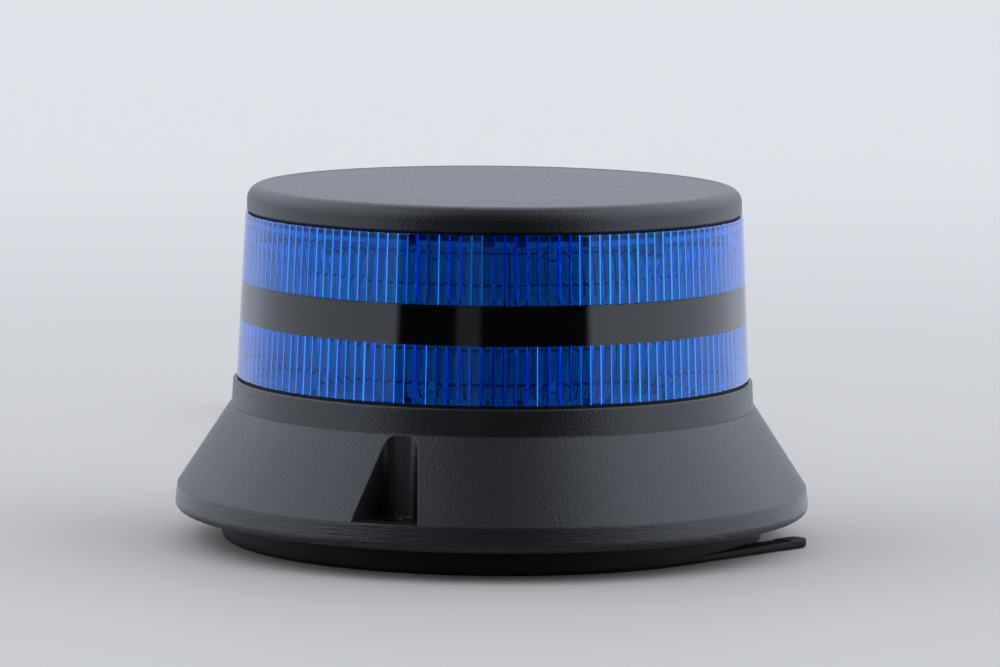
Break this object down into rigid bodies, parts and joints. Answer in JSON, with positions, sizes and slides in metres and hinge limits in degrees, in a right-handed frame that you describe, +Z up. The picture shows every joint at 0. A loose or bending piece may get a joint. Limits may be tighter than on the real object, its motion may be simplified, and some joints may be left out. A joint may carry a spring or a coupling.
{
  "type": "flashing warning light",
  "caption": "Low round flashing warning light with a fluted blue lens ring, skirted base, magnetic rubber foot with pull tab, and a coiled cable with an accessory plug.",
  "frame": {"origin": "centre of the rubber boot's bottom face, on the surface that the light stands on", "axes": "+Z up along the lens axis, front towards -Y, pull tab towards +X"},
  "size_m": [0.146, 0.3057, 0.0814],
  "materials": {
    "black_moulding": "fine moulded grain",
    "blue_lens": "clear blue moulding",
    "gloss_black": "gloss",
    "black_rubber": "matt moulded rubber",
    "screw_steel": "zinc plated",
    "magnet_nickel": "nickel plated",
    "sink_aluminium": "turned",
    "circuit_board": "white solder mask",
    "led_package": "moulded lens on white body",
    "reflector_metal": "metallised",
    "board_parts": "satin",
    "wire_cover": "extruded",
    "cable_jacket": "extruded jacket",
    "tie_webbing": "woven hook and loop",
    "plug_moulding": "moulded",
    "plug_metal": "nickel plated",
    "fuse_glass": "clear"
  },
  "bodies": {
    "light": {"top_cap": "black_moulding", "base_housing": "black_moulding", "base_cover": "black_moulding", "lens_ring": "blue_lens", "upper_flute_ring": "blue_lens", "lower_flute_ring": "blue_lens", "centre_band": "gloss_black", "rubber_boot": "black_rubber", "lens_gasket": "black_rubber", "cap_gasket": "black_rubber", "cover_seal": "black_rubber", "cable_gland": "black_rubber", "strain_relief": "black_rubber", "plate_screws": "screw_steel", "cover_screws": "screw_steel", "clamp_screws": "screw_steel", "board_screws": "screw_steel", "board_standoffs": "screw_steel", "magnet_plate": "screw_steel", "plug_spring": "screw_steel", "magnets": "magnet_nickel", "heat_sink": "sink_aluminium", "driver_board": "circuit_board", "upper_led_board": "circuit_board", "lower_led_board": "circuit_board", "upper_leds": "led_package", "lower_leds": "led_package", "upper_reflector": "reflector_metal", "lower_reflector": "reflector_metal", "driver_components": "board_parts", "inner_wires": "wire_cover", "led_harness": "wire_cover", "cable_lead": "cable_jacket", "cable_coil": "cable_jacket", "cable_tail": "cable_jacket", "coil_tie": "tie_webbing", "plug_grip": "plug_moulding", "plug_barrel": "plug_moulding", "plug_nose": "plug_moulding", "plug_fuse": "fuse_glass"},
    "tab": {"pull_tab": "black_rubber"},
    "tip": {"plug_tip": "plug_metal"},
    "contact_left": {"plug_contact_left": "plug_metal"},
    "contact_right": {"plug_contact_right": "plug_metal"}
  },
  "joints": [
    {"name": "tab_bend", "type": "hinge", "parent": "light", "child": "tab", "pos_m": [0.06044, -0.02335, 0.002], "axis": [0.7193, -0.6947, 0], "range_deg": [0, 14], "stiffness_Nm_per_rad": 0.02},
    {"name": "tip_press", "type": "slide", "parent": "light", "child": "tip", "axis": [1, 0, 0], "range_m": [0, 0.003], "stiffness_N_per_m": 800, "deforming": ["plug_spring"]},
    {"name": "contact_left_press", "type": "slide", "parent": "light", "child": "contact_left", "axis": [0, -1, 0], "range_m": [0, 0.0008], "stiffness_N_per_m": 1500},
    {"name": "contact_right_press", "type": "slide", "parent": "light", "child": "contact_right", "axis": [0, 1, 0], "range_m": [0, 0.0008], "stiffness_N_per_m": 1500}
  ]
}
